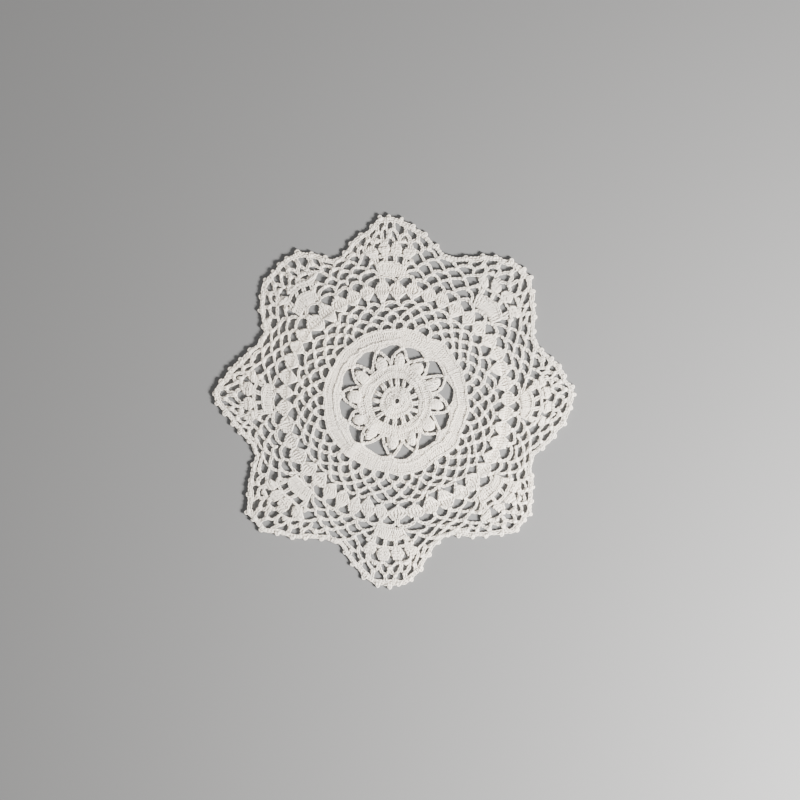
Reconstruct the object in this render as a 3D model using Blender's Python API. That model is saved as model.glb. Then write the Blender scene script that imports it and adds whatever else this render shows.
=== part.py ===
# A crocheted lace doily lying flat: one openwork sheet, worked in rounds from the centre out.
# From the middle: a slotted flower centre, twelve puffed petals, twelve open arches, a close band,
# a ring of net, a round of shells, eight fans and eight uneven points with a picot edge.
# Metres, +Z up, origin on the surface under the middle. Angles in degrees, anticlockwise from +X.

from collections import namedtuple
from math import cos, pi, radians, sin

import bmesh
import bpy
from mathutils.geometry import delaunay_2d_cdt

MM = 0.001

# Heights of the top face over the surface, in mm
SHEET = 1.8          # chain loops and the edges of every gap
FLAT_STITCH = 2.1    # between two raised stitches
CLOSE = 2.4          # a close round
FULL = 2.6           # the raised line of the band and the fullest shells
PUFF = 3.0           # a petal's puffed cluster
SLIT = 0.9           # the bottom of a slot or slit too narrow to be cut through

# Radii of the rounds, in mm
CENTRE_HOLE = 2.2
SLOT_ROUND = 15.1    # middle of the 16 slots
PETAL_FOOT = 28.0
ARCH_HEAD = 44.1     # inner edge of the close band
BAND_LINE = 47.2     # raised line of the band
BAND_EDGE = 55.7     # outer edge of the close band
SHELL_FOOT = 79.3    # last round of the even net
SHELL_WAIST = 87.0   # where each shell is widest
SHELL_HEAD = 95.5
FAN_HEAD = 104.4
SMALL_SHELL = 116.0  # middle of the four small shells over a fan

SLOTS = 16
PETALS = 12

# The eight points. fan: angle of the fan under the point; tip, reach: where the point ends;
# blunt: how much of the way to the valley the tip stays at full reach; valley, dip: the lowest
# place after the point; loops: how many shell gaps lie between this fan and the next.
Point = namedtuple("Point", "fan tip reach blunt valley dip loops")
POINTS = (
    Point(-2.5, 2.0, 140.2, 0.10, 23.0, 119.9, 5),
    Point(45.0, 46.0, 143.9, 0.13, 70.5, 122.2, 5),
    Point(93.0, 92.0, 144.6, 0.14, 112.0, 121.4, 4),
    Point(131.5, 130.0, 139.6, 0.36, 154.5, 116.8, 5),
    Point(179.0, 177.5, 140.4, 0.06, 199.0, 118.3, 4),
    Point(222.0, 220.0, 144.6, 0.16, 246.0, 119.9, 5),
    Point(267.0, 268.0, 144.6, 0.20, 290.5, 113.4, 5),
    Point(318.5, 317.0, 137.6, 0.18, 336.5, 117.6, 4),
)
FLANK_END = 0.88   # share of the way to the valley at which a point's flank has come down

# An even sector, to which the tables below refer before it is bent to the real points
EVEN_TIP = 143.1
EVEN_VALLEY = 122.2
EVEN_BLUNT = 0.12
SECTOR = 45.0
BEND_START = 97.0  # radius from which the points' own unevenness takes over
BEND_END = 124.0

PICOTS = 11        # scallops of the edge in a sector
PICOT_DEPTH = 2.0

# The even net between the band and the shells, cut at one and a half times its pitch around and twice
# its pitch outwards. first: angle of the first gap; wide, tall: size around and along the radius.
NetRow = namedtuple("NetRow", "count first radius wide tall")
NET = (
    NetRow(24, 8.0, BAND_EDGE + 6.2, 11.2, 7.8),
    NetRow(24, 0.5, SHELL_FOOT - 6.4, 13.8, 8.0),
)

# Gaps beside the shells, on the angles between two shells. skip_slits: every fifth is too narrow to cut.
ShellGap = namedtuple("ShellGap", "radius wide tall skip_slits")
SHELL_GAPS = (
    ShellGap(SHELL_FOOT + 2.1, 8.8, 5.2, True),
    ShellGap(SHELL_HEAD - 3.1, 7.4, 6.8, False),
)
SLIT_EVERY = 5
FIRST_SLIT = 3

# Gaps of one sector. turn: degrees from the fan's middle in an even sector of 45;
# wide, tall: mm around and along the radius; lean: degrees.
Gap = namedtuple("Gap", "turn radius wide tall lean")
SECTOR_GAPS = (
    Gap(0.0, FAN_HEAD + 5.0, 4.4, 8.8, 0),         # three tall gaps on the fan
    Gap(-4.1, FAN_HEAD + 3.6, 4.4, 8.4, 8),
    Gap(4.1, FAN_HEAD + 3.6, 4.4, 8.4, -8),
    Gap(-11.2, SMALL_SHELL - 6.4, 6.8, 7.0, 35),   # beside the small shells
    Gap(11.2, SMALL_SHELL - 6.4, 6.8, 7.0, -35),
    Gap(-5.7, SMALL_SHELL + 2.0, 5.0, 5.8, 0),     # between the small shells' heads
    Gap(0.0, SMALL_SHELL + 5.6, 5.4, 7.2, 0),
    Gap(5.5, SMALL_SHELL + 3.0, 4.8, 6.4, 0),
    Gap(-4.4, EVEN_TIP - 13.6, 6.0, 6.8, 20),      # in the point
    Gap(4.2, EVEN_TIP - 13.0, 6.2, 7.0, -20),
    Gap(0.3, EVEN_TIP - 8.4, 3.8, 8.4, 0),
    Gap(-10.2, EVEN_TIP - 19.6, 6.4, 5.2, -34),    # along its flanks
    Gap(10.4, EVEN_TIP - 19.4, 6.6, 5.4, 34),
    Gap(11.8, SHELL_HEAD + 3.8, 7.6, 4.4, 0),      # first row of net between two fans
    Gap(18.9, SHELL_HEAD + 4.3, 8.2, 4.8, 0),
    Gap(26.1, SHELL_HEAD + 4.3, 8.2, 4.8, 0),
    Gap(33.2, SHELL_HEAD + 3.8, 7.6, 4.4, 0),
    Gap(18.4, EVEN_VALLEY - 12.2, 10.4, 8.4, 0),   # second row, over the valley
    Gap(26.6, EVEN_VALLEY - 12.2, 10.4, 8.4, 0),
)

# Half of one arch between two petals. turn: degrees from its middle; radius: mm.
ArchCorner = namedtuple("ArchCorner", "turn radius")
ARCH_NOTCH = ArchCorner(0.0, ARCH_HEAD - 12.2)
ARCH_SIDE = (
    ArchCorner(6.0, ARCH_HEAD - 8.3),
    ArchCorner(11.6, ARCH_HEAD - 4.8),
    ArchCorner(12.4, ARCH_HEAD - 3.1),
    ArchCorner(8.6, ARCH_HEAD - 0.9),
    ArchCorner(3.0, ARCH_HEAD),
)
FIRST_ARCH = 8.5

# Raised work: points that lift or sink the top face inside a close place. turn: degrees from the
# middle of the petal, shell or fan.
Lift = namedtuple("Lift", "turn radius height")
PETAL_LIFTS = (
    Lift(0.0, PETAL_FOOT + 2.0, FULL),
    Lift(0.0, PETAL_FOOT + 5.6, PUFF),
    Lift(0.0, PETAL_FOOT + 9.0, CLOSE),
    Lift(-4.6, PETAL_FOOT + 5.0, CLOSE),
    Lift(4.6, PETAL_FOOT + 5.0, CLOSE),
    Lift(-7.6, PETAL_FOOT + 6.2, SLIT),
    Lift(7.6, PETAL_FOOT + 6.2, SLIT),
)
SHELL_LIFTS = (
    Lift(0.0, SHELL_WAIST - 4.2, CLOSE),
    Lift(0.0, SHELL_WAIST, FULL),
    Lift(0.0, SHELL_WAIST + 4.6, CLOSE),
)
FAN_LIFTS = (
    Lift(-4.6, FAN_HEAD - 4.0, FULL),
    Lift(-2.4, FAN_HEAD - 3.6, FLAT_STITCH),
    Lift(0.0, FAN_HEAD - 3.4, FULL),
    Lift(2.4, FAN_HEAD - 3.6, FLAT_STITCH),
    Lift(4.6, FAN_HEAD - 4.0, FULL),
    Lift(-8.2, SMALL_SHELL - 3.6, FULL),
    Lift(-2.7, SMALL_SHELL - 0.4, FULL),
    Lift(2.7, SMALL_SHELL - 0.4, FULL),
    Lift(8.2, SMALL_SHELL - 3.6, FULL),
    Lift(-8.8, SMALL_SHELL + 1.0, CLOSE),
    Lift(-2.8, SMALL_SHELL + 4.0, CLOSE),
    Lift(2.8, SMALL_SHELL + 4.0, CLOSE),
    Lift(8.6, SMALL_SHELL + 1.0, CLOSE),
)
# Rings of lifts in the close rounds. height, alternate: of every first and every second point.
CloseRing = namedtuple("CloseRing", "count radius height alternate")
CLOSE_RINGS = (
    CloseRing(8, SLOT_ROUND - 9.9, CLOSE, CLOSE),
    CloseRing(16, SLOT_ROUND - 5.9, CLOSE, CLOSE),
    CloseRing(2 * SLOTS, SLOT_ROUND, SLIT, CLOSE),
    CloseRing(16, SLOT_ROUND + 5.5, CLOSE, CLOSE),
    CloseRing(24, PETAL_FOOT - 3.0, FLAT_STITCH, CLOSE),
    CloseRing(48, BAND_LINE, FULL, FULL),
    CloseRing(48, BAND_EDGE - 5.3, FLAT_STITCH, CLOSE),
    CloseRing(48, BAND_EDGE - 2.3, CLOSE, FLAT_STITCH),
)
FIRST_SLOT = 9.0

THREAD_COLOUR = (0.86, 0.84, 0.81, 1.0)
THREAD_ROUGHNESS = 0.9


def blend(low, high, value):
    """0 at low and before, 1 at high and after, smooth between."""
    t = min(max((value - low) / (high - low), 0.0), 1.0)
    return t * t * (3.0 - 2.0 * t)


def on_polar(turn, radius):
    """Place on the plane at an angle in degrees and a radius."""
    return radius * cos(radians(turn)), radius * sin(radians(turn))


def sector_of(index):
    """A point and the next one, whose angles are carried past 360 where needed."""
    here = POINTS[index % len(POINTS)]
    after = POINTS[(index + 1) % len(POINTS)]
    if after.fan < here.fan:
        after = after._replace(fan=after.fan + 360.0, tip=after.tip + 360.0)
    return here, after


def flank(share, tip, valley, blunt):
    """Radius of the edge at a share of the way from the tip to the valley."""
    fall = min(max((FLANK_END - share) / (FLANK_END - blunt), 0.0), 1.0)
    return valley + (tip - valley) * fall


def edge_at(here, after, along):
    """Angle and radius of the real edge at a share of the way from one tip to the next."""
    if along <= 0.5:
        share = along / 0.5
        turn = here.tip + (here.valley - here.tip) * share
        return turn, flank(share, here.reach, here.dip, here.blunt)
    share = (1.0 - along) / 0.5
    turn = after.tip + (here.valley - after.tip) * share
    return turn, flank(share, after.reach, here.dip, after.blunt)


def bent(index, along, radius):
    """Real angle and radius of a place in the even sector, `along` it from 0 to 1, and the stretch there."""
    if along < 0.0:
        return bent(index - 1, along + 1.0, radius)
    here, after = sector_of(index)
    inner_turn = here.fan + (after.fan - here.fan) * along
    edge_turn, edge_radius = edge_at(here, after, along)
    share = min(along, 1.0 - along) / 0.5
    even_radius = flank(share, EVEN_TIP, EVEN_VALLEY, EVEN_BLUNT)
    turn = inner_turn + (edge_turn - inner_turn) * blend(BEND_START, BEND_END, radius)
    if radius <= BEND_START:
        return turn, radius, 1.0
    stretch = (edge_radius - BEND_START) / (even_radius - BEND_START)
    return turn, BEND_START + (radius - BEND_START) * stretch, stretch


def six_sided_gap(turn, radius, wide, tall, lean=0.0):
    """Outline of one gap: six corners, two of them at its sides."""
    x, y = on_polar(turn, radius)
    outward = radians(turn + lean)
    loop = []
    for corner in range(6):
        a = pi * corner / 3.0
        around = 0.5 * wide * cos(a)
        along = 0.5 * tall * sin(a) / sin(pi / 3.0)
        loop.append((
            x - around * sin(outward) + along * cos(outward),
            y + around * cos(outward) + along * sin(outward),
        ))
    return loop


def shell_gap_angles():
    """Angles between the shells: evenly spaced from each fan to the next, the fans' own angles with them."""
    angles = []
    for index in range(len(POINTS)):
        here, after = sector_of(index)
        step = (after.fan - here.fan) / (here.loops + 1)
        angles += [here.fan + step * k for k in range(here.loops + 1)]
    return angles


def arch_loops():
    """The open arches between the petals."""
    loops = []
    for number in range(PETALS):
        middle = FIRST_ARCH + number * 360.0 / PETALS
        corners = [ARCH_NOTCH, *ARCH_SIDE]
        corners += [ArchCorner(-c.turn, c.radius) for c in reversed(ARCH_SIDE)]
        loops.append([on_polar(middle + c.turn, c.radius) for c in corners])
    return loops


def gap_loops():
    """Outlines of all the gaps that are cut through."""
    loops = [six_sided_gap(0.0, 0.0, 2.0 * CENTRE_HOLE, 2.0 * CENTRE_HOLE * sin(pi / 3.0))]
    loops += arch_loops()
    for row in NET:
        for number in range(row.count):
            turn = row.first + number * 360.0 / row.count
            loops.append(six_sided_gap(turn, row.radius, row.wide, row.tall))
    angles = shell_gap_angles()
    for row in SHELL_GAPS:
        for number, turn in enumerate(angles):
            if row.skip_slits and (number - FIRST_SLIT) % SLIT_EVERY == 0:
                continue
            loops.append(six_sided_gap(turn, row.radius, row.wide, row.tall))
    for index in range(len(POINTS)):
        for gap in SECTOR_GAPS:
            turn, radius, stretch = bent(index, gap.turn / SECTOR, gap.radius)
            loops.append(six_sided_gap(turn, radius, gap.wide, gap.tall * stretch, gap.lean))
    return loops


def outline_loop():
    """The scalloped edge of the eight points: a picot and a notch by turns."""
    loop = []
    for index in range(len(POINTS)):
        here, after = sector_of(index)
        for half_step in range(2 * PICOTS):
            turn, radius = edge_at(here, after, half_step / (2 * PICOTS))
            notch = PICOT_DEPTH if half_step % 2 else 0.0
            loop.append(on_polar(turn, radius - notch))
    return loop


def lifted_points():
    """Points inside the close places that raise or sink the top face: x, y and height."""
    lifted = []
    for ring in CLOSE_RINGS:
        for number in range(ring.count):
            turn = FIRST_SLOT + number * 360.0 / ring.count
            height = ring.alternate if number % 2 else ring.height
            lifted.append((*on_polar(turn, ring.radius), height))
    for number in range(PETALS):
        middle = FIRST_ARCH + (number + 0.5) * 360.0 / PETALS
        for lift in PETAL_LIFTS:
            lifted.append((*on_polar(middle + lift.turn, lift.radius), lift.height))
    angles = shell_gap_angles()
    for number, turn in enumerate(angles):
        following = angles[number + 1] if number + 1 < len(angles) else angles[0] + 360.0
        for lift in SHELL_LIFTS:
            lifted.append((*on_polar(0.5 * (turn + following), lift.radius), lift.height))
    for index in range(len(POINTS)):
        for lift in FAN_LIFTS:
            turn, radius, _ = bent(index, lift.turn / SECTOR, lift.radius)
            lifted.append((*on_polar(turn, radius), lift.height))
    return lifted


def is_inside(x, y, loop):
    """Whether a place lies inside a closed outline."""
    inside = False
    for (x0, y0), (x1, y1) in zip(loop, loop[1:] + loop[:1]):
        if (y0 > y) != (y1 > y) and x < (x1 - x0) * (y - y0) / (y1 - y0) + x0:
            inside = not inside
    return inside


def fill(loops, extra):
    """Triangles between the outline, which is the first loop, and the gaps. Returns places and faces."""
    places = [place for loop in loops for place in loop]
    owner = [number for number, loop in enumerate(loops) for _ in loop] + [None] * len(extra)
    edges = []
    start = 0
    for loop in loops:
        edges += [(start + k, start + (k + 1) % len(loop)) for k in range(len(loop))]
        start += len(loop)
    places = places + [(x, y) for x, y in extra]
    found, _, faces, _, _, _ = delaunay_2d_cdt(places, edges, [], 0, 1e-6)
    kept = []
    for face in faces:
        owners = {owner[corner] for corner in face}
        if len(owners) == 1 and None not in owners:
            number = owners.pop()
            x = sum(found[corner][0] for corner in face) / 3.0
            y = sum(found[corner][1] for corner in face) / 3.0
            if is_inside(x, y, loops[number]) != (number == 0):
                continue
        kept.append(face)
    return places, kept


def doily_mesh():
    """The closed sheet: a lifted top face, a flat underside, and walls round the edge and the gaps."""
    loops = [outline_loop(), *gap_loops()]
    lifted = lifted_points()
    top_places, top_faces = fill(loops, [(x, y) for x, y, _ in lifted])
    flat_places, flat_faces = fill(loops, [])
    rims = len(flat_places)
    heights = [SHEET] * rims + [height for _, _, height in lifted]

    work = bmesh.new()
    top = [work.verts.new((x * MM, y * MM, z * MM)) for (x, y), z in zip(top_places, heights)]
    under = [work.verts.new((x * MM, y * MM, 0.0)) for x, y in flat_places]
    for face in top_faces:
        work.faces.new([top[corner] for corner in face])
    for face in flat_faces:
        work.faces.new([under[corner] for corner in reversed(face)])
    start = 0
    for loop in loops:
        ring = range(start, start + len(loop))
        for here, after in zip(ring, [*ring[1:], ring[0]]):
            work.faces.new((under[here], under[after], top[after], top[here]))
        start += len(loop)
    bmesh.ops.recalc_face_normals(work, faces=work.faces)
    mesh = bpy.data.meshes.new("doily")
    work.to_mesh(mesh)
    work.free()
    return mesh


def thread_material():
    """Off-white matt cotton thread."""
    material = bpy.data.materials.new("cotton_thread")
    material.use_nodes = True
    shader = material.node_tree.nodes["Principled BSDF"]
    shader.inputs["Base Color"].default_value = THREAD_COLOUR
    shader.inputs["Roughness"].default_value = THREAD_ROUGHNESS
    shader.inputs["Metallic"].default_value = 0.0
    return material


def main():
    for old in list(bpy.data.objects):
        bpy.data.objects.remove(old, do_unlink=True)
    mesh = doily_mesh()
    mesh.materials.append(thread_material())
    doily = bpy.data.objects.new("doily", mesh)
    bpy.context.scene.collection.objects.link(doily)


main()
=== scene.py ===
from math import cos, pi, radians, sin, sqrt

import bpy
import numpy as np
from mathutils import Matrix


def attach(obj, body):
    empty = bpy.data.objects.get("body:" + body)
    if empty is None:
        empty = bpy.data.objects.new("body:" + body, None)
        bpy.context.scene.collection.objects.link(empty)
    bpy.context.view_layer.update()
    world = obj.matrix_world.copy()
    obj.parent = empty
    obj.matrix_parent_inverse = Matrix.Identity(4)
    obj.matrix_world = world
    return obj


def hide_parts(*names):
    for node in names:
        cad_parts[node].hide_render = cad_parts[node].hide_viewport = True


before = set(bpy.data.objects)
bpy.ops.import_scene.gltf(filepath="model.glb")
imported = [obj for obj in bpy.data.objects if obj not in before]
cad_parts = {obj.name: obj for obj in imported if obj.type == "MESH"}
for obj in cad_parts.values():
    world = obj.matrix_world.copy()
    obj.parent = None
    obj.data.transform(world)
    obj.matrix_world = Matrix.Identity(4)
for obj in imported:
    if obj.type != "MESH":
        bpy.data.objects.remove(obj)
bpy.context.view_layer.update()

mm = 0.001

thread = {
    "radius": 0.48,        # of the thread as it lies in a stitch
    "sides": 5,
    "chainPitch": 2.9,     # length of one chain stitch
    "chainWidth": 1.00,    # half width over the two legs' middles
    "chainHeight": 1.15,
    "coreLift": 0.35,      # of the strand inside a chain, above the chain's base
    "coreThick": 1.1,      # as a share of the radius
    "knotFall": 0.18,      # share by which a knot's outer strands are shorter than its middle one
    "uneven": 0.11,        # how far, in mm, one stitch lies off its place in the pattern
    "unevenLift": 1.5,     # how far it lies above it, as a share of that
    "clear": 0.03,         # least gap to the table
}

# Templates of one strand: along the stitch, across it, up, and thickness, each as a share.
chainLeg = np.array([
    (-0.18, 0.06, 0.30, 0.70),
    (0.20, 0.56, 0.52, 1.00),
    (0.62, 0.80, 0.78, 1.12),
    (1.04, 0.46, 0.90, 1.02),
    (1.32, 0.06, 0.66, 0.66),
])
knotLeg = np.array([
    (-0.06, 1.00, 0.20, 0.80),
    (0.18, 1.06, 0.84, 1.05),
    (0.50, 1.00, 1.14, 1.15),
    (0.82, 0.92, 0.90, 1.05),
    (1.04, 0.70, 0.30, 0.75),
])


def twistedPost(steps, turns, phase):
    # one of the two strands wound round each other in a treble
    rows = []
    for step in range(steps):
        share = step / (steps - 1)
        angle = 2 * pi * turns * share + phase
        rows.append((share, cos(angle), 0.5 + 0.5 * sin(angle), 1.0))
    return np.array(rows)


wave = {
    "seed": 11,
    "drift": {"count": 14, "reach": 0.90, "lengths": (18.0, 60.0)},     # sideways wander of the rounds
    "tug": {"count": 18, "reach": 0.42, "lengths": (8.0, 15.0)},        # from loop to loop
    "swell": {"count": 6, "reach": 0.50, "lengths": (55.0, 120.0)},     # how far it lifts off the table
    # one soft fold across the middle; span is where it starts and ends, fade how softly it does
    "crease": {"turn": 47.0, "height": 1.0, "width": 4.4, "span": (-62.0, 34.0), "fade": 4.0},
    # how far the rows round each fan are pulled out or in
    "pull": {"radius": 104.0, "spread": 15.0,
             "fans": ((-2.5, 1.5), (45.0, 0.9), (93.0, 2.0), (131.5, 4.4),
                      (179.0, -2.0), (222.0, -1.8), (267.0, 0.5), (318.5, 0.2))},
}
chance = np.random.default_rng(wave["seed"])


def planeWaves(kind):
    # seeded waves over the plane, each with its direction, length and phase
    count = kind["count"]
    turns = chance.uniform(0, 2 * pi, count)
    sizes = 2 * pi / chance.uniform(*kind["lengths"], count)
    phases = chance.uniform(0, 2 * pi, count)
    return np.stack([np.cos(turns) * sizes, np.sin(turns) * sizes, phases], axis=1)


driftX, driftY = planeWaves(wave["drift"]), planeWaves(wave["drift"])
tugX, tugY = planeWaves(wave["tug"]), planeWaves(wave["tug"])
swells = planeWaves(wave["swell"])


def sumOf(waves, x, y):
    # about -1 to 1, whatever their number
    total = np.zeros_like(x)
    for kx, ky, phase in waves:
        total += np.sin(kx * x + ky * y + phase)
    return total / sqrt(len(waves))


def settle(points):
    # the whole cloth wanders a little in plan and lies a little off the table here and there
    x, y, z = points[..., 0], points[..., 1], points[..., 2]
    drift, tug = wave["drift"]["reach"], wave["tug"]["reach"]
    dx = drift * sumOf(driftX, x, y) + tug * sumOf(tugX, x, y)
    dy = drift * sumOf(driftY, x, y) + tug * sumOf(tugY, x, y)
    pull = wave["pull"]
    for turn, reach in pull["fans"]:
        outX, outY = cos(radians(turn)), sin(radians(turn))
        aside = (x - pull["radius"] * outX) ** 2 + (y - pull["radius"] * outY) ** 2
        near = aside / pull["spread"] ** 2
        dx = dx + reach * outX * np.exp(-near)
        dy = dy + reach * outY * np.exp(-near)
    rise = wave["swell"]["reach"] * 0.5 * (1 + np.tanh(sumOf(swells, x, y)))
    crease = wave["crease"]
    turn = radians(crease["turn"])
    along = x * cos(turn) + y * sin(turn)
    across = -x * sin(turn) + y * cos(turn)
    low, high = crease["span"]
    fade = crease["fade"]
    inSpan = 1 / (1 + np.exp((low - along) / fade)) / (1 + np.exp((along - high) / fade))
    fold = crease["height"] * inSpan * np.exp(-(across / crease["width"]) ** 2)
    return np.stack([x + dx, y + dy, z + rise + fold], axis=-1)


def addStrands(skein, centres, thickness):
    # centres: strands x points x 3, thickness: strands x points
    skein.append((np.asarray(centres, float), np.asarray(thickness, float)))


def addLine(skein, path, height, thick):
    # one plain strand along a path in plan; thick is its share of the thread's radius
    line = np.concatenate([path, np.full((len(path), 1), height)], axis=1)
    addStrands(skein, line[None], np.full((1, len(line)), thread["radius"] * thick))


def lay(skein, template, origins, forwards, lengths, width, height, base, side=1.0, thick=1.0):
    # places one strand template at many stitches, each with its own start and direction in plan
    origins = np.asarray(origins, float)
    forwards = np.asarray(forwards, float)
    forwards = forwards / np.linalg.norm(forwards, axis=1, keepdims=True)
    lengths = np.broadcast_to(np.asarray(lengths, float), (len(origins),))
    count = len(origins)
    origins = origins + chance.normal(0, thread["uneven"], (count, 2))
    lift = np.abs(chance.normal(0, thread["unevenLift"] * thread["uneven"], (count, 1)))
    across = np.stack([-forwards[:, 1], forwards[:, 0]], axis=1)
    run = template[:, 0][None, :, None] * lengths[:, None, None] * forwards[:, None, :]
    step = template[:, 1][None, :, None] * width * side * across[:, None, :]
    plan = origins[:, None, :] + run + step
    up = base + lift + height * template[:, 2]
    radii = np.broadcast_to(thread["radius"] * thick * template[:, 3], plan.shape[:2])
    addStrands(skein, np.concatenate([plan, up[..., None]], axis=2), radii)


def resample(path, count, closed=False):
    # points at even spacing along a polyline, the steps between them, and its length
    path = np.asarray(path, float)
    if closed:
        path = np.concatenate([path, path[:1]])
    legs = np.linalg.norm(np.diff(path, axis=0), axis=1)
    far = np.concatenate([[0.0], np.cumsum(legs)])
    places = np.linspace(0, far[-1], count + 1)
    out = np.stack([np.interp(places, far, path[:, k]) for k in range(2)], axis=1)
    return out, np.diff(out, axis=0), far[-1]


def chain(skein, path, pitch=None, width=None, base=0.2, closed=False, core=True, thick=1.0):
    # a run of chain stitches along a path in plan
    pitch = pitch or thread["chainPitch"]
    width = width or thread["chainWidth"]
    length = resample(path, 4, closed)[2]
    count = max(2, round(length / pitch))
    places, ahead, length = resample(path, count, closed)
    for side in (-1, 1):
        lay(skein, chainLeg, places[:-1], ahead, length / count, width, thread["chainHeight"], base,
            side, thick)
    if core:
        addLine(skein, places, base + thread["coreLift"], thread["coreThick"])


def posts(skein, feet, heads, width=0.55, base=0.75, height=0.6, thick=1.1, turns=1.0, steps=5,
          core=0.75):
    # trebles: two strands twisted together from each foot to its head, over a plain strand whose
    # radius is core
    feet, heads = np.asarray(feet, float), np.asarray(heads, float)
    run = heads - feet
    lengths = np.linalg.norm(run, axis=1)
    for phase in (0.4, 0.4 + pi):
        lay(skein, twistedPost(steps, turns, phase), feet, run, lengths, width, height, base, 1.0, thick)
    low = np.full((len(feet), 1), core + thread["clear"])
    line = np.stack([np.concatenate([ends, low], axis=1) for ends in (feet, heads)], axis=1)
    addStrands(skein, line, np.full(line.shape[:2], core))


def underlay(skein, paths, base=0.72, thick=1.35):
    # loops of the stitches' backs, seen only between the posts above them
    for path in paths:
        addLine(skein, path, base, thick)


def knots(skein, places, forwards, length=3.8, half=1.0, base=0.45, height=1.0, thick=1.1, count=3):
    # close stitches over a chain, set square to it; places are their middles, half is the reach to
    # the outer strands
    places = np.asarray(places, float)
    forwards = np.asarray(forwards, float)
    forwards = forwards / np.linalg.norm(forwards, axis=1, keepdims=True)
    for lean in np.linspace(-1, 1, count):
        reach = length * (1 - thread["knotFall"] * lean * lean)
        start = places - forwards * reach / 2
        lay(skein, knotLeg, start, forwards, reach, half, height, base, lean, thick)


def spin(name, skein, cottonThread):
    # turns all strands of a piece into one mesh of closed tubes, with the strand's length in u
    sides = thread["sides"]
    ring = np.arange(sides)
    following = (ring + 1) % sides
    angle = 2 * pi * ring / sides
    vertexParts, cornerParts, startParts, uvParts = [], [], [], []
    vertexCount = cornerCount = 0
    for centres, thickness in skein:
        centres = settle(centres)
        centres[..., 2] = np.maximum(centres[..., 2], thickness + thread["clear"])
        strands, steps = thickness.shape
        ahead = np.gradient(centres, axis=1)
        ahead /= np.linalg.norm(ahead, axis=2, keepdims=True)
        across = np.cross(ahead, (0.0, 0.0, 1.0))
        size = np.linalg.norm(across, axis=2, keepdims=True)
        across = np.where(size > 0.05, across / np.maximum(size, 1e-6), (1.0, 0.0, 0.0))
        upward = np.cross(across, ahead)
        around = np.cos(angle)[:, None] * across[:, :, None, :]
        around = around + np.sin(angle)[:, None] * upward[:, :, None, :]
        points = centres[:, :, None, :] + thickness[:, :, None, None] * around
        vertexParts.append(points.reshape(-1, 3))
        index = vertexCount + np.arange(strands * steps * sides).reshape(strands, steps, sides)
        here, after = index[:, :-1], index[:, 1:]
        quads = np.stack([here, here[:, :, following], after[:, :, following], after], axis=-1)
        caps = np.stack([index[:, 0, ::-1], index[:, -1, :]], axis=1)
        legs = np.linalg.norm(np.diff(centres, axis=1), axis=2)
        far = np.concatenate([np.zeros((strands, 1)), np.cumsum(legs, axis=1)], axis=1)
        far = np.broadcast_to(far[:, :, None], index.shape)
        turn = np.broadcast_to(ring / sides, index[:, :-1].shape)
        lengthUv = np.stack([far[:, :-1], far[:, :-1], far[:, 1:], far[:, 1:]], axis=-1)
        turnUv = np.stack([turn, turn + 1 / sides, turn + 1 / sides, turn], axis=-1)
        cornerParts += [quads.reshape(-1), caps.reshape(-1)]
        uvParts += [np.stack([lengthUv, turnUv], axis=-1).reshape(-1, 2), np.zeros((caps.size, 2))]
        startParts.append(cornerCount + 4 * np.arange(quads.size // 4))
        startParts.append(cornerCount + quads.size + sides * np.arange(caps.size // sides))
        vertexCount += strands * steps * sides
        cornerCount += quads.size + caps.size
    mesh = bpy.data.meshes.new(name)
    corners = np.concatenate(cornerParts)
    starts = np.concatenate(startParts)
    mesh.vertices.add(vertexCount)
    mesh.vertices.foreach_set("co", (np.concatenate(vertexParts) * mm).ravel())
    mesh.loops.add(len(corners))
    mesh.loops.foreach_set("vertex_index", corners.astype(np.int32))
    mesh.polygons.add(len(starts))
    mesh.polygons.foreach_set("loop_start", starts.astype(np.int32))
    mesh.update(calc_edges=True)
    mesh.polygons.foreach_set("use_smooth", np.ones(len(starts), bool))
    layer = mesh.uv_layers.new(name="strandLength")
    layer.data.foreach_set("uv", np.concatenate(uvParts).ravel())
    mesh.validate()
    mesh.materials.append(cottonThread)
    piece = bpy.data.objects.new(name, mesh)
    bpy.context.collection.objects.link(piece)
    print(name, "spun,", sum(len(face.vertices) - 2 for face in mesh.polygons), "triangles")
    return piece


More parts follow.
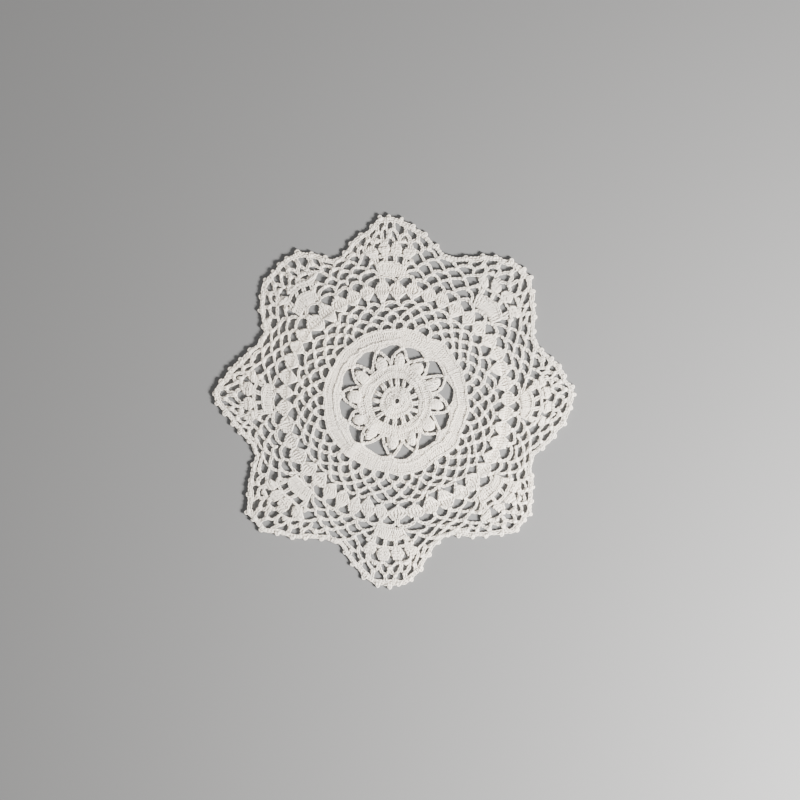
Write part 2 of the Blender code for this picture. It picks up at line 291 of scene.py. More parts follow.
# The star: where each point lies and how it bends the even pattern. fan: angle of the fan under
# the point; tip, reach: its end; blunt: share of the flank that stays at full reach; valley, dip:
# the lowest place after it; shells: gaps between shells on the way to the next fan; loops: last
# loops on the point's right and left flank.
star = {
    "points": [
        {"fan": -2.5, "tip": 2.0, "reach": 140.2, "blunt": 0.10, "valley": 23.0, "dip": 119.9,
         "shells": 5, "loops": (4, 5)},
        {"fan": 45.0, "tip": 46.0, "reach": 143.9, "blunt": 0.13, "valley": 70.5, "dip": 122.2,
         "shells": 5, "loops": (5, 4)},
        {"fan": 93.0, "tip": 92.0, "reach": 144.6, "blunt": 0.14, "valley": 112.0, "dip": 121.4,
         "shells": 4, "loops": (4, 5)},
        {"fan": 131.5, "tip": 130.0, "reach": 139.6, "blunt": 0.36, "valley": 154.5, "dip": 116.8,
         "shells": 5, "loops": (4, 5)},
        {"fan": 179.0, "tip": 177.5, "reach": 140.4, "blunt": 0.06, "valley": 199.0, "dip": 118.3,
         "shells": 4, "loops": (4, 5)},
        {"fan": 222.0, "tip": 220.0, "reach": 144.6, "blunt": 0.16, "valley": 246.0, "dip": 119.9,
         "shells": 5, "loops": (4, 5)},
        {"fan": 267.0, "tip": 268.0, "reach": 144.6, "blunt": 0.20, "valley": 290.5, "dip": 113.4,
         "shells": 5, "loops": (4, 5)},
        {"fan": 318.5, "tip": 317.0, "reach": 137.6, "blunt": 0.18, "valley": 336.5, "dip": 117.6,
         "shells": 4, "loops": (5, 4)},
    ],
    "evenTip": 143.1,
    "evenValley": 122.2,
    "evenBlunt": 0.12,
    "flankEnd": 0.88,
    "sector": 45.0,
    "bendStart": 97.0,
    "bendEnd": 124.0,
}
sectors = range(len(star["points"]))


def polar(turn, radius):
    return np.array([radius * cos(radians(turn)), radius * sin(radians(turn))])


def pointPair(index):
    here = dict(star["points"][index % len(star["points"])])
    after = dict(star["points"][(index + 1) % len(star["points"])])
    if after["fan"] < here["fan"]:
        after["fan"] += 360
        after["tip"] += 360
    return here, after


def flank(share, tip, valley, blunt):
    fall = (star["flankEnd"] - share) / (star["flankEnd"] - blunt)
    return valley + (tip - valley) * min(max(fall, 0.0), 1.0)


def edgeAt(index, along):
    # angle and radius of the edge at a share of the way from one tip to the next
    here, after = pointPair(index)
    near, share = (here, along / 0.5) if along <= 0.5 else (after, (1 - along) / 0.5)
    turn = near["tip"] + (here["valley"] - near["tip"]) * share
    return turn, flank(share, near["reach"], here["dip"], near["blunt"])


def onStar(index, turn, radius):
    # a place of the even sector, bent to the real point; turn runs from one fan to the next
    while turn < 0:
        index, turn = index - 1, turn + star["sector"]
    while turn > star["sector"]:
        index, turn = index + 1, turn - star["sector"]
    along = turn / star["sector"]
    here, after = pointPair(index)
    inner = here["fan"] + (after["fan"] - here["fan"]) * along
    edgeTurn, edgeRadius = edgeAt(index, along)
    even = flank(min(along, 1 - along) / 0.5, star["evenTip"], star["evenValley"], star["evenBlunt"])
    start = star["bendStart"]
    share = min(max((radius - start) / (star["bendEnd"] - start), 0), 1)
    mixed = inner + (edgeTurn - inner) * share * share * (3 - 2 * share)
    if radius > start:
        radius = start + (radius - start) * (edgeRadius - start) / (even - start)
    return polar(mixed, radius)


def shellGapTurns():
    # angles between the shells, evenly spaced from fan to fan
    turns = []
    for index in sectors:
        here, after = pointPair(index)
        step = (after["fan"] - here["fan"]) / (here["shells"] + 1)
        turns += [here["fan"] + step * k for k in range(here["shells"] + 1)]
    return turns


def ringOf(radius, count, first=0.0):
    return [polar(first + 360 * k / count, radius) for k in range(count)]


def circle(radius, samples=180):
    return ringOf(radius, samples)


def loopPath(footA, peak, footB, square=2.1, samples=17):
    # an arch of chain from foot to foot; a higher square gives steeper sides and a flatter top
    footA, peak, footB = (np.asarray(place, float) for place in (footA, peak, footB))
    middle, half = (footA + footB) / 2, (footB - footA) / 2
    path = []
    for step in range(samples):
        angle = pi * step / (samples - 1)
        sideways = -np.sign(cos(angle)) * abs(cos(angle)) ** (2 / square)
        path.append(middle + half * sideways + (peak - middle) * abs(sin(angle)) ** (2 / square))
    return path


def outward(places):
    places = np.asarray(places, float)
    return places / np.linalg.norm(places, axis=1, keepdims=True)


def nudged(places, reach):
    # no loop is quite like the next
    return [place + chance.uniform(-reach, reach, 2) for place in places]


rim = {
    # the chain that the heads of a round of trebles make
    "out": 0.3,
    "width": 0.85,
    "base": 0.62,
}


def roundOf(skein, row, first):
    # a closed round of trebles, with the chain of their heads along its top
    count, top = row["count"], row["outer"]
    posts(skein, ringOf(row["inner"], count, first), ringOf(top, count, first))
    chain(skein, circle(top + rim["out"]), 2 * pi * top / count, rim["width"], rim["base"], closed=True)


cotton = {
    "light": (0.90, 0.835, 0.74),
    "shade": (0.74, 0.70, 0.64),
    "toneScale": 16.0,
    "toneDetail": 3.0,
    "toneEdges": (0.36, 0.66),    # of the noise, where shade ends and light begins
    "roughness": (0.80, 0.95),
    "sheen": 0.2,
    "sheenRoughness": 0.6,
    "plyLines": 3,
    "plyPitch": 2.0,      # length of one turn of the ply
    "plyDepth": 0.10,
    "plyStrength": 0.8,
    "fuzzScale": 1400.0,
    "fuzzDetail": 4.0,
    "fuzzDepth": 0.05,
    "fuzzStrength": 0.6,
}


def makeCotton():
    material = bpy.data.materials.new("cottonThread")
    material.use_nodes = True
    nodes, links = material.node_tree.nodes, material.node_tree.links
    shader = nodes["Principled BSDF"]
    shader.inputs["Sheen Weight"].default_value = cotton["sheen"]
    shader.inputs["Sheen Roughness"].default_value = cotton["sheenRoughness"]
    place = nodes.new("ShaderNodeTexCoord")
    tone = nodes.new("ShaderNodeTexNoise")    # broad drifts of tone over the cloth
    tone.inputs["Scale"].default_value = cotton["toneScale"]
    tone.inputs["Detail"].default_value = cotton["toneDetail"]
    links.new(place.outputs["Object"], tone.inputs["Vector"])
    ramp = nodes.new("ShaderNodeValToRGB")
    stops = ramp.color_ramp.elements
    stops[0].position, stops[1].position = cotton["toneEdges"]
    stops[0].color = (*cotton["shade"], 1)
    stops[1].color = (*cotton["light"], 1)
    links.new(tone.outputs["Fac"], ramp.inputs["Fac"])
    links.new(ramp.outputs["Color"], shader.inputs["Base Color"])
    lines = nodes.new("ShaderNodeVectorMath")    # slanting lines of the twisted ply
    lines.operation = "DOT_PRODUCT"
    lines.inputs[1].default_value = (2 * pi / cotton["plyPitch"], 2 * pi * cotton["plyLines"], 0)
    links.new(place.outputs["UV"], lines.inputs[0])
    ridge = nodes.new("ShaderNodeMath")
    ridge.operation = "SINE"
    links.new(lines.outputs["Value"], ridge.inputs[0])
    plyBump = nodes.new("ShaderNodeBump")
    plyBump.inputs["Strength"].default_value = cotton["plyStrength"]
    plyBump.inputs["Distance"].default_value = cotton["plyDepth"] * mm
    links.new(ridge.outputs["Value"], plyBump.inputs["Height"])
    fuzz = nodes.new("ShaderNodeTexNoise")       # short fibres
    fuzz.inputs["Scale"].default_value = cotton["fuzzScale"]
    fuzz.inputs["Detail"].default_value = cotton["fuzzDetail"]
    links.new(place.outputs["Object"], fuzz.inputs["Vector"])
    fuzzBump = nodes.new("ShaderNodeBump")
    fuzzBump.inputs["Strength"].default_value = cotton["fuzzStrength"]
    fuzzBump.inputs["Distance"].default_value = cotton["fuzzDepth"] * mm
    links.new(fuzz.outputs["Fac"], fuzzBump.inputs["Height"])
    links.new(plyBump.outputs["Normal"], fuzzBump.inputs["Normal"])
    links.new(fuzzBump.outputs["Normal"], shader.inputs["Normal"])
    rough = nodes.new("ShaderNodeMapRange")
    rough.inputs["To Min"].default_value, rough.inputs["To Max"].default_value = cotton["roughness"]
    links.new(fuzz.outputs["Fac"], rough.inputs["Value"])
    links.new(rough.outputs["Result"], shader.inputs["Roughness"])
    return material


centre = {
    "hole": 3.1,
    "holeChain": (1.9, 0.6),      # pitch and half width
    "stagger": 2.0,               # degrees from one round to the next
    "first": {"count": 20, "inner": 3.6, "outer": 7.2},
    "second": {"count": 40, "inner": 7.7, "outer": 11.6},
    "third": {"count": 76, "inner": 18.6, "outer": 22.5},
    "fourth": {"count": 96, "inner": 23.0, "outer": 27.6},
    "slots": 16,
    "firstSlot": 9.0,
    "spokeHalf": 2.9,       # degrees from a spoke's middle to each of its two posts
    "spoke": (12.1, 18.2),
    "spokeWidth": 0.42,
    "spokeCore": 0.75,
    "backs": (10.4, 21.2, 25.0, 26.6),    # radii
}


def makeCentre(material):
    skein = []
    pitch, width = centre["holeChain"]
    chain(skein, circle(centre["hole"], 40), pitch, width, closed=True)
    for number, name in enumerate(("first", "second", "third", "fourth")):
        roundOf(skein, centre[name], centre["stagger"] * number)
    underlay(skein, [circle(radius, 120) for radius in centre["backs"]])
    for number in range(centre["slots"]):
        middle = centre["firstSlot"] + (number + 0.5) * 360 / centre["slots"]
        turns = (middle - centre["spokeHalf"], middle + centre["spokeHalf"])
        feet, heads = ([polar(turn, radius) for turn in turns] for radius in centre["spoke"])
        posts(skein, feet, heads, centre["spokeWidth"], core=centre["spokeCore"])
    return spin("centreRounds", skein, material)


petal = {
    "turns": (24.5, 54, 81.5, 110.5, 140.5, 172.5, 204.5, 232.5, 263.5, 293, 324, 353.5),    # of the tips
    "swirl": 2.4,        # degrees by which the petals' feet run ahead of their tips
    # the cluster of trebles: its ends' radii, its half width and how it swells and closes on the way
    "foot": 26.2,
    "head": 36.4,
    "halfWidth": 3.75,
    "widest": 0.42,      # share of the way up
    "footNarrow": 0.35,  # how much narrower its foot is
    "closeRun": 0.59,    # share of the way over which it closes to the head
    "closePower": 0.7,
    "strands": 8,
    "steps": 12,
    "thick": 1.15,
    "twists": 2.5,       # of each pair of strands
    "twistWidth": 0.28,
    "twistHeight": 0.2,
    "base": 0.7,
    "fullness": 1.25,    # height of its middle strands, which falls to the sides and ends
    "fullnessFall": 0.7,
    "fullnessEnds": (0.04, 0.96),
    "tip": 40.8,
    "tipKnot": (3.4, 1.0),     # length and half width
    # one arm: degrees from the petal's middle, and radius, from its foot to the petal's tip
    "arm": ((14.2, 27.8), (13.8, 30.6), (12.1, 33.0), (9.3, 35.4), (6.2, 37.6), (3.2, 39.5), (1.2, 41.0)),
    "armPitch": 2.2,
    "armWidth": 0.88,
    # the stitch that holds the cluster to each arm: its place, size and lean
    "tie": (7.6, 34.6),
    "tieKnot": (2.2, 0.4),
    "tieLean": 40,
}


def petalStrand(lean, phase):
    # one strand of a cluster: it swells out from the foot, winds round its neighbour and closes at the head
    rows = []
    widest = petal["widest"]
    low, high = petal["fullnessEnds"]
    for share in np.linspace(0, 1, petal["steps"]):
        angle = 2 * pi * petal["twists"] * share + phase
        swell = 1 - petal["footNarrow"] * (max(widest - share, 0) / widest) ** 2
        closing = 1 - (max(share - widest, 0) / petal["closeRun"]) ** 2
        out = swell * max(closing, 0) ** petal["closePower"]
        crown = sin(pi * min(max(share, low), high)) ** 0.5 * sqrt(1 - petal["fullnessFall"] * lean * lean)
        sideways = lean * out + petal["twistWidth"] / petal["halfWidth"] * cos(angle)
        rows.append((share, sideways, crown + petal["twistHeight"] * sin(angle), petal["thick"]))
    return np.array(rows)


def onPetal(turn, lean, radius):
    # a place on the petal whose tip lies at turn
    tip, foot = petal["tip"], petal["foot"]
    return polar(turn + lean + petal["swirl"] * (tip - radius) / (tip - foot), radius)


def makePetals(material):
    skein = []
    long = petal["head"] - petal["foot"]
    for turn in petal["turns"]:
        foot, head, tip = (onPetal(turn, 0, petal[end]) for end in ("foot", "head", "tip"))
        for lean in np.linspace(-1, 1, petal["strands"]):
            for phase in (0, pi):
                lay(skein, petalStrand(lean, phase + 2 * lean), [foot], [head - foot], long,
                    petal["halfWidth"], petal["fullness"], petal["base"])
        for side in (-1, 1):
            arm = [onPetal(turn, side * lean, radius) for lean, radius in petal["arm"]]
            chain(skein, arm, petal["armPitch"], petal["armWidth"])
            lean, radius = petal["tie"]
            tieRun = polar(turn + side * petal["tieLean"], 1.0)
            knots(skein, [onPetal(turn, side * lean, radius)], [tieRun], *petal["tieKnot"], count=2)
        knots(skein, [tip], [tip], *petal["tipKnot"])
    return spin("petals", skein, material)


band = {
    # radii of its inner edge between two petals, of its raised line and of its outer edge
    "archHead": 44.8,
    "line": 47.4,
    "edge": 55.4,
    "archSquare": 2.7,            # how square an arch's end is
    "posts": 204,
    "outerTurns": 1.75,           # twists of one post of the outer round
    "outerSteps": 8,
    "chainPitch": 2.2,
    # half width and base of the three chains
    "archChain": (0.85, 0.2),
    "lineChain": (0.6, 0.7),
    "edgeChain": (0.85, 0.6),
    "archStep": 1.5,              # degrees between places on the inner edge
    "backs": (46.6, 47.4, 51.3),
}


def archRadius(turn):
    # inner edge of the band: drawn in at each petal's tip, round between
    turns = petal["turns"] + (petal["turns"][0] + 360,)
    turn = (turn - turns[0]) % 360 + turns[0]
    for here, after in zip(turns, turns[1:]):
        if here <= turn <= after:
            s = 2 * (turn - here) / (after - here) - 1
            return petal["tip"] + (band["archHead"] - petal["tip"]) * (1 - abs(s) ** band["archSquare"])


def makeBand(material):
    skein = []
    step = 360 / band["posts"]
    pitch = band["chainPitch"]
    turns = [step * (k + 0.5) for k in range(band["posts"])]
    arches = [polar(turn, archRadius(turn)) for turn in turns]
    lines, edges = ([polar(turn, band[name]) for turn in turns] for name in ("line", "edge"))
    archPath = [polar(turn, archRadius(turn)) for turn in np.arange(0, 360, band["archStep"])]
    chain(skein, archPath, pitch, *band["archChain"], closed=True)
    posts(skein, arches, lines)
    chain(skein, circle(band["line"]), pitch, *band["lineChain"], closed=True)
    posts(skein, lines, edges, turns=band["outerTurns"], steps=band["outerSteps"])
    chain(skein, circle(band["edge"]), pitch, *band["edgeChain"], closed=True)
    underlay(skein, [circle(radius) for radius in band["backs"]])
    return spin("closeBand", skein, material)


net = {
    "loops": 36,
    "feet": (3.2, 55.9),                 # first foot on the band: angle and radius
    "rows": (62.7, 68.4, 73.5, 77.9),    # radius of each round's peaks
    "drift": -0.25,                      # the rounds creep back a little as they grow
    "nudge": 0.55,
    "square": (1.5, 2.2),                # the loops' shapes lie between these
    "firstSquare": (2.0, 3.0),           # of the first round, which stands on the band
    "knotOut": 0.8,                      # how far beyond a loop's top its stitch sits
    "sag": 0.8,                          # share of a round by which its chain dips between two peaks
    "sagPower": 2.5,
}
netPeaks = []      # places of each round's peaks, the first being the feet on the band


def makeNet(material):
    skein = []
    step = 360 / net["loops"]
    turn, radius = net["feet"]
    netPeaks.append(ringOf(radius, net["loops"], turn))
    for row, reach in enumerate(net["rows"]):
        turn += (step / 2 if row % 2 == 0 else -step / 2) + net["drift"]
        peaks = nudged(ringOf(reach, net["loops"], turn), net["nudge"])
        feet = netPeaks[-1]
        for number, peak in enumerate(peaks):
            other = number + 1 if row % 2 == 0 else number - 1
            square = chance.uniform(*net["square" if row else "firstSquare"])
            chain(skein, loopPath(feet[number], peak, feet[other % net["loops"]], square))
        netPeaks.append(peaks)
    for row in netPeaks[:-1]:      # the shells stand on the last ones
        knots(skein, np.asarray(row) + net["knotOut"] * outward(row), outward(row))
    return spin("netRounds", skein, material)


shell = {
    "posts": 6,
    # half widths in mm, for shells of the usual size, and radii
    "foot": 0.3,
    "stalk": 2.6,            # from the net up to the foot
    "stalkKnot": (3.6, 0.6),
    "stalkMiddle": 0.6,
    "waist": (5.7, 85.2),
    "upper": (5.5, 87.2),
    "head": (2.3, 90.9),
    "usual": 8,              # degrees from shell to shell
    "middleTurns": 0.75,     # twists of one post of the middle row
    "middleSteps": 4,
    "backs": (-0.1, 0.5, 1.1),
    "stem": 91.9,            # the stitches that close the shell and hold the loops
    "stemKnot": (4.0, 1.3),
    "loop": 96.3,
    "square": 2.2,
    "uneven": 0.10,          # how much one shell's width differs from another's
    "nudge": 0.45,
}
fan = {
    # radii of its middle post's ends
    "foot": 96.7,
    "footFall": 0.7,       # how much lower the fan's sides lie than its middle
    "head": 105.8,
    "headFall": 3.2,
    "posts": 14,
    "postTurns": 1.75,
    "postSteps": 7,
    "backs": (0.25, 0.5, 0.75),
    "footHalf": 5.4,       # degrees
    "headHalf": 6.6,
    "headPitch": 2.2,
    "headBase": 0.65,
    "columns": ((-6.1, 110.4), (-2.0, 112.0), (2.0, 112.0), (6.1, 110.4)),
    "columnHalf": 0.8,
    "columnDown": 0.3,     # how far inside the fan's head a column starts
    "columnLean": 1.05,
    "columnWidth": 0.4,
    "columnCore": 0.5,
    "columnTops": ((-8.6, 109.4), (-6.3, 110.8), (-2.1, 112.4), (2.1, 112.4), (6.3, 110.8), (8.6, 109.4)),
    "topPitch": 2.4,
    "topBase": 0.4,
    # small shells: angle and radius of the foot, waist and head
    "smallShells": (
        ((-6.7, 110.6), (-7.7, 114.2), (-8.2, 117.8)),
        ((-2.3, 112.2), (-2.6, 116.4), (-2.7, 120.8)),
        ((2.3, 112.2), (2.6, 116.4), (2.7, 120.8)),
        ((6.7, 110.6), (7.7, 114.2), (8.2, 117.8)),
    ),
    "smallHalf": (1.5, 4.2, 2.7),     # half widths in mm at the foot, waist and head
    "smallPosts": 6,
    "waistPitch": 3.0,
    "waistBase": 0.75,
    "closingOut": 1.4,                # of the closing stitch, beyond the head
    "closingKnot": (3.4, 1.4),
}


def netTop(turn):
    # radius of the last net round's chain at an angle
    step = 360 / net["loops"]
    first = np.degrees(np.arctan2(netPeaks[-1][0][1], netPeaks[-1][0][0]))
    s = abs(((turn - first) / step + 0.5) % 1 - 0.5) * 2
    below, top = net["rows"][-2:]
    return top - (top - below) * net["sag"] * s ** net["sagPower"]


def spread(middle, aside, half, count):
    # count places side by side, half being the reach to either side
    aside = aside / np.linalg.norm(aside)
    return [middle + aside * half * (2 * k / (count - 1) - 1) for k in range(count)]


def rowsBetween(feet, heads, shares):
    # rows of places part of the way from the feet to the heads
    return [np.array([foot + (head - foot) * share for foot, head in zip(feet, heads)]) for share in shares]


def starSpread(index, place, half, count):
    middle = onStar(index, *place)
    return spread(middle, onStar(index, place[0] + 0.5, place[1]) - middle, half, count)


def makeShells(skein):
    turns = shellGapTurns()
    turns.append(turns[0] + 360)
    count = shell["posts"]
    for here, after in zip(turns, turns[1:]):
        middle = (here + after) / 2
        aside = polar(middle + 90, 1.0)
        room = (after - here) / shell["usual"] * (1 + chance.uniform(-1, 1) * shell["uneven"])
        feet = spread(polar(middle, netTop(middle) + shell["stalk"]), aside, shell["foot"], count)
        waist, upper, heads = (spread(polar(middle, radius), aside, half * room, count)
                               for half, radius in (shell["waist"], shell["upper"], shell["head"]))
        posts(skein, feet, waist)
        posts(skein, waist, upper, turns=shell["middleTurns"], steps=shell["middleSteps"])
        posts(skein, upper, heads)
        underlay(skein, rowsBetween(waist, upper, shell["backs"]))
        knots(skein, [polar(middle, shell["stem"])], [polar(middle, 1.0)], *shell["stemKnot"])


def makeShellLoops(material):
    # from shell to shell, over the gaps between them
    skein = []
    turns = shellGapTurns()
    turns = [turns[-1] - 360] + turns + [turns[0] + 360]
    for before, turn, after in zip(turns, turns[1:], turns[2:]):
        foot, other = (polar((turn + aside) / 2, shell["stem"]) for aside in (before, after))
        peak = polar(turn, shell["loop"]) + chance.uniform(-1, 1, 2) * shell["nudge"]
        chain(skein, loopPath(foot, peak, other, shell["square"]))
        middle = (turn + after) / 2
        stalk = polar(middle, netTop(middle) + shell["stalkMiddle"] * shell["stalk"])
        knots(skein, [stalk], [polar(middle, 1.0)], *shell["stalkKnot"], count=2)
    return spin("shellLoops", skein, material)


def makeFan(skein, index):
    feet, heads = [], []
    for lean in np.linspace(-1, 1, fan["posts"]):
        feet.append(onStar(index, fan["footHalf"] * lean, fan["foot"] - fan["footFall"] * lean ** 2))
        heads.append(onStar(index, fan["headHalf"] * lean, fan["head"] - fan["headFall"] * lean ** 2))
    underlay(skein, rowsBetween(feet, heads, fan["backs"]))
    posts(skein, feet, heads, turns=fan["postTurns"], steps=fan["postSteps"])
    chain(skein, heads, fan["headPitch"], base=fan["headBase"])
    half = fan["columnHalf"]
    for turn, radius in fan["columns"]:
        low = fan["head"] - fan["columnDown"] - fan["headFall"] * (turn / fan["headHalf"]) ** 2
        feet = starSpread(index, (turn, low), half, 2)
        tops = starSpread(index, (turn * fan["columnLean"], radius), half, 2)
        posts(skein, feet, tops, fan["columnWidth"], core=fan["columnCore"])
    chain(skein, [onStar(index, *top) for top in fan["columnTops"]], fan["topPitch"], base=fan["topBase"])
    for small in fan["smallShells"]:
        feet, waist, heads = (starSpread(index, place, half, fan["smallPosts"])
                              for place, half in zip(small, fan["smallHalf"]))
        posts(skein, feet, waist)
        posts(skein, waist, heads)
        chain(skein, [waist[0], waist[-1]], fan["waistPitch"], base=fan["waistBase"], core=False)
        turn, radius = small[-1]
        closing = onStar(index, turn, radius + fan["closingOut"])
        knots(skein, [closing], [closing], *fan["closingKnot"])


def makeCloseWork(material):
    skein = []
    makeShells(skein)
    for index in sectors:
        makeFan(skein, index)
    return spin("shellsAndFans", skein, material)


# Loops between and over the fans, as (angle, radius) for one flank of an even point: the angle
# runs from the fan's middle to the valley at half a sector. Each loop is foot, peak, foot.
outer = {
    "chainWidth": 0.88,
    "lastChainWidth": 1.08,        # of the last round before the edge
    "knotOut": 0.7,
    "square": (1.5, 2.3),
    "lastSquare": (2.2, 2.8),      # of the last, crowded round, whose loops stand up straighter
    "loops": (
        ((6.9, 97.3), (11.4, 102.4), (15.4, 97.6)),
        ((15.4, 97.6), (19.0, 102.2), (22.5, 97.6)),
        ((6.8, 103.6), (8.8, 107.8), (11.4, 102.4)),
        ((11.4, 102.4), (15.1, 108.0), (19.0, 102.2)),
        ((15.1, 108.0), (18.8, 113.0), (22.5, 108.0)),
        ((3.4, 122.6), (5.8, 122.6), (7.8, 120.2)),
    ),
    "side": ((8.6, 118.6), (10.4, 116.4), (12.2, 114.0), (13.8, 111.2), (15.1, 108.0)),
    "middles": (      # loops across the fan's own middle
        ((-1.9, 122.6), (0.0, 126.0), (1.9, 122.6)),
    ),
    "valleys": (      # loops across the valley; the last foot mirrors the first
        ((19.0, 102.0), (22.5, 107.8)),
        ((18.8, 113.0), (22.5, 117.8)),
    ),
    # last round before the edge, for flanks of five and of four loops
    "flanks": {
        5: {"feet": ((0.5, 126.2), (3.9, 123.6), (7.3, 120.6), (10.5, 117.6), (13.6, 114.4), (18.8, 113.0)),
            "peaks": ((1.9, 133.0), (5.5, 129.6), (8.9, 125.4), (12.1, 121.4), (15.6, 118.4)),
            "edge": (1.4, 5.2, 9.1, 12.9, 16.8),
            "picots": (3.1, 6.9, 10.6, 14.3, 18.6)},
        4: {"feet": ((0.5, 126.2), (4.2, 123.2), (8.2, 119.8), (12.4, 115.6), (18.8, 113.0)),
            "peaks": ((1.9, 132.8), (6.2, 128.8), (10.4, 124.0), (14.8, 119.0)),
            "edge": (1.4, 6.0, 10.5, 15.0),
            "picots": (3.8, 8.0, 12.1, 16.8)},
    },
}


def flanksOf(index):
    # the two flanks that make a sector: a way to place them and their number of loops
    here, after = pointPair(index)

    def rising(turn, radius):
        return onStar(index, turn, radius)

    def falling(turn, radius):
        return onStar(index, star["sector"] - turn, radius)

    return (rising, here["loops"][1]), (falling, after["loops"][0])


def makeOuterNet(material):
    skein = []
    for index in sectors:
        tops = []
        for put, loops in flanksOf(index):
            flankRow = outer["flanks"][loops]
            lastRow = zip(flankRow["feet"], flankRow["peaks"], flankRow["feet"][1:])
            rows = [(row, outer["square"], outer["chainWidth"]) for row in outer["loops"]]
            rows += [(row, outer["lastSquare"], outer["lastChainWidth"]) for row in lastRow]
            for places, square, width in rows:
                footA, peak, footB = (put(*place) for place in places)
                chain(skein, loopPath(footA, peak, footB, chance.uniform(*square)), width=width)
                tops.append(peak)
            chain(skein, [put(*place) for place in outer["side"]], width=outer["chainWidth"])
        put = flanksOf(index)[0][0]
        for footA, peak, footB in outer["middles"]:
            chain(skein, loopPath(put(*footA), put(*peak), put(*footB)))
            tops.append(put(*peak))
        for foot, peak in outer["valleys"]:
            other = (star["sector"] - foot[0], foot[1])
            chain(skein, loopPath(put(*foot), put(*peak), put(*other)))
            tops.append(put(*peak))
        knots(skein, np.asarray(tops) + outer["knotOut"] * outward(tops), outward(tops))
    return spin("outerNet", skein, material)


edge = {
    # how far in from the picots' tips each chain lies, at angles from the point's tip
    "turns": (0.0, 6.0, 15.0, 22.5),
    "inner": (4.4, 4.8, 4.1, 3.0),
    "outer": (2.5, 2.8, 2.5, 2.2),
    "chainPitch": 2.8,
    "chainWidth": 0.90,
    "chainBase": 0.25,
    "samples": 60,            # of one sector
    "strutWidth": 1.6,        # of the stitches from the last loops to the edge
    "picotHalf": 1.3,
    "picotTall": 2.7,
    "picotRise": (0.35, 0.5),      # of its middle and its top, as shares of its height
    "picotTurn": (-0.15, 1.15),    # where its loop starts and ends, in half turns
    "picotSteps": 9,
    "picotBase": 0.95,
    "picotThick": 1.6,
    "footKnot": (3.0, 1.2),
    "tangentStep": 0.5,       # degrees to either side, to find the edge's direction
}


def onEdge(index, turn, inset):
    # a place on the doily's border, drawn in by inset; turn runs from one tip to the next
    edgeTurn, radius = edgeAt(index, turn / star["sector"])
    return polar(edgeTurn, radius - inset)


def insetAt(name, turn):
    return float(np.interp(min(turn, star["sector"] - turn), edge["turns"], edge[name]))


def edgeAxes(index, turn):
    # directions along the edge and out from it
    step = edge["tangentStep"]
    after, before = min(turn + step, star["sector"]), max(turn - step, 0)
    along = onEdge(index, after, 0) - onEdge(index, before, 0)
    along /= np.linalg.norm(along)
    return along, np.array([along[1], -along[0]])


def addPicot(skein, index, turn):
    foot = onEdge(index, turn, insetAt("outer", turn))
    along, out = edgeAxes(index, turn)
    middle, top = edge["picotRise"]
    start, end = edge["picotTurn"]
    loop = []
    for angle in np.linspace(start * pi, end * pi, edge["picotSteps"]):
        sideways = along * edge["picotHalf"] * cos(angle)
        loop.append(foot + sideways + out * edge["picotTall"] * (middle + top * sin(angle)))
    addLine(skein, loop, edge["picotBase"], edge["picotThick"])
    knots(skein, [foot], [out], *edge["footKnot"])


def makeEdging(material):
    skein = []
    turns = np.arange(edge["samples"]) * star["sector"] / edge["samples"]
    for name in ("inner", "outer"):
        path = [onEdge(index, turn, insetAt(name, turn)) for index in sectors for turn in turns]
        chain(skein, path, edge["chainPitch"], edge["chainWidth"], edge["chainBase"], closed=True)
    for index in sectors:
        picots = [0.0]
        for side, (put, loops) in enumerate(flanksOf(index)):
            flankRow = outer["flanks"][loops]
            for peak, turn in zip(flankRow["peaks"], flankRow["edge"]):
                turn = turn if side == 0 else star["sector"] - turn
                strut = [put(*peak), onEdge(index, turn, insetAt("inner", turn))]
                chain(skein, strut, width=edge["strutWidth"])
            picots += [turn if side == 0 else star["sector"] - turn for turn in flankRow["picots"]]
        for turn in picots:
            addPicot(skein, index, turn)
    return spin("picotEdging", skein, material)


studio = {
    "floorColour": (0.150, 0.154, 0.160),
    "floorRoughness": 0.9,
    "floorSize": 3.0,
    "world": (1.0, 0.975, 0.94),
    "lampColour": (1.0, 0.965, 0.915),
    "worldStrength": 0.38,
    "keyLamp": {"place": (0.80, -0.46, 0.47), "radius": 0.13, "power": 272.0},
    "fillLamp": {"place": (-0.6, 0.9, 1.2), "radius": 0.6, "power": 25.0},
    "mmPerPixel": 280.0 / 362.0,
    "framePixels": 800,
    "middlePixel": (395.5, 401.5),      # where the doily's middle lies in the photograph
    "cameraHeight": 1.6,
    "sensor": 36,
}


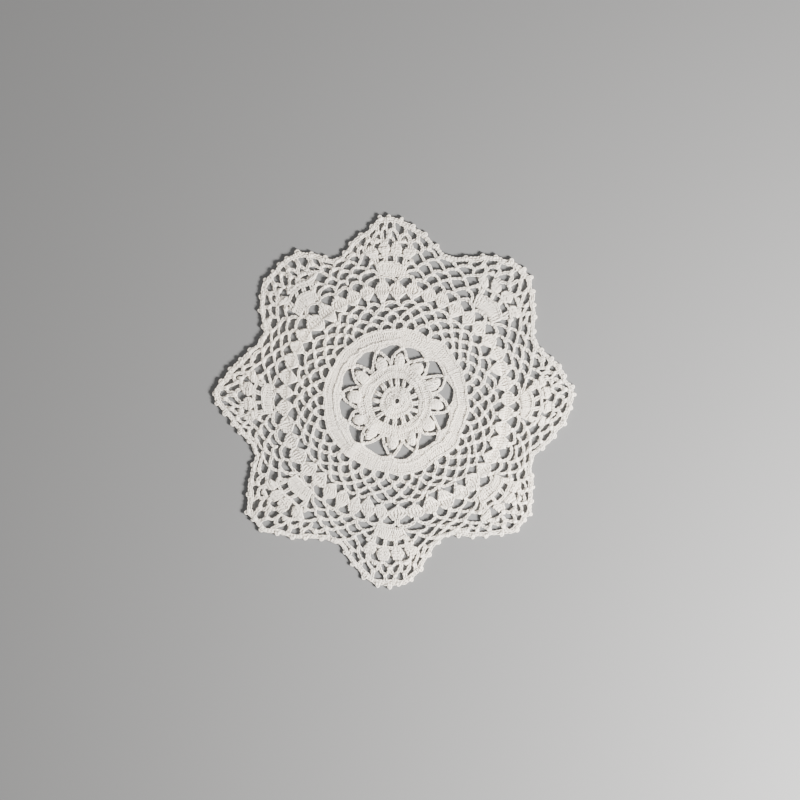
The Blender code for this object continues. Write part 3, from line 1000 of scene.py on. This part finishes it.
def makeLamp(name):
    # a round soft lamp that lights the floor on every side of it
    lamp = studio[name]
    light = bpy.data.lights.new(name, "POINT")
    light.shadow_soft_size = lamp["radius"]
    light.energy = lamp["power"]
    light.color = studio["lampColour"]
    holder = bpy.data.objects.new(name, light)
    holder.location = lamp["place"]
    holder.visible_camera = False
    bpy.context.collection.objects.link(holder)


def makeStudio():
    half = studio["floorSize"] / 2
    corners = [(-half, -half, 0), (half, -half, 0), (half, half, 0), (-half, half, 0)]
    mesh = bpy.data.meshes.new("floor")
    mesh.from_pydata(corners, [], [(0, 1, 2, 3)])
    material = bpy.data.materials.new("paleFloor")
    material.use_nodes = True
    shader = material.node_tree.nodes["Principled BSDF"]
    shader.inputs["Base Color"].default_value = (*studio["floorColour"], 1)
    shader.inputs["Roughness"].default_value = studio["floorRoughness"]
    mesh.materials.append(material)
    floor = bpy.data.objects.new("floor", mesh)
    bpy.context.collection.objects.link(floor)
    world = bpy.data.worlds.new("softRoom")
    world.use_nodes = True
    background = world.node_tree.nodes["Background"]
    background.inputs["Color"].default_value = (*studio["world"], 1)
    background.inputs["Strength"].default_value = studio["worldStrength"]
    bpy.context.scene.world = world
    makeLamp("keyLamp")
    makeLamp("fillLamp")


def makeCamera():
    # straight above, at the photograph's scale and place
    camera = bpy.data.cameras.new("camera")
    holder = bpy.data.objects.new("camera", camera)
    bpy.context.collection.objects.link(holder)
    pixel = studio["mmPerPixel"] * mm
    middle = studio["framePixels"] / 2
    camera.sensor_width = studio["sensor"]
    camera.lens = studio["sensor"] * studio["cameraHeight"] / (studio["framePixels"] * pixel)
    x = (middle - studio["middlePixel"][0]) * pixel
    y = (studio["middlePixel"][1] - middle) * pixel
    holder.location = (x, y, studio["cameraHeight"])
    bpy.context.scene.camera = holder


makeStudio()
makeCamera()
print("studio and camera made")

cottonThread = makeCotton()
makers = (makeCentre, makePetals, makeBand, makeNet, makeCloseWork, makeShellLoops, makeOuterNet, makeEdging)
pieces = [make(cottonThread) for make in makers]
for piece in pieces:
    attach(piece, "root")
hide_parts("doily")
print("pieces ride on the frame")
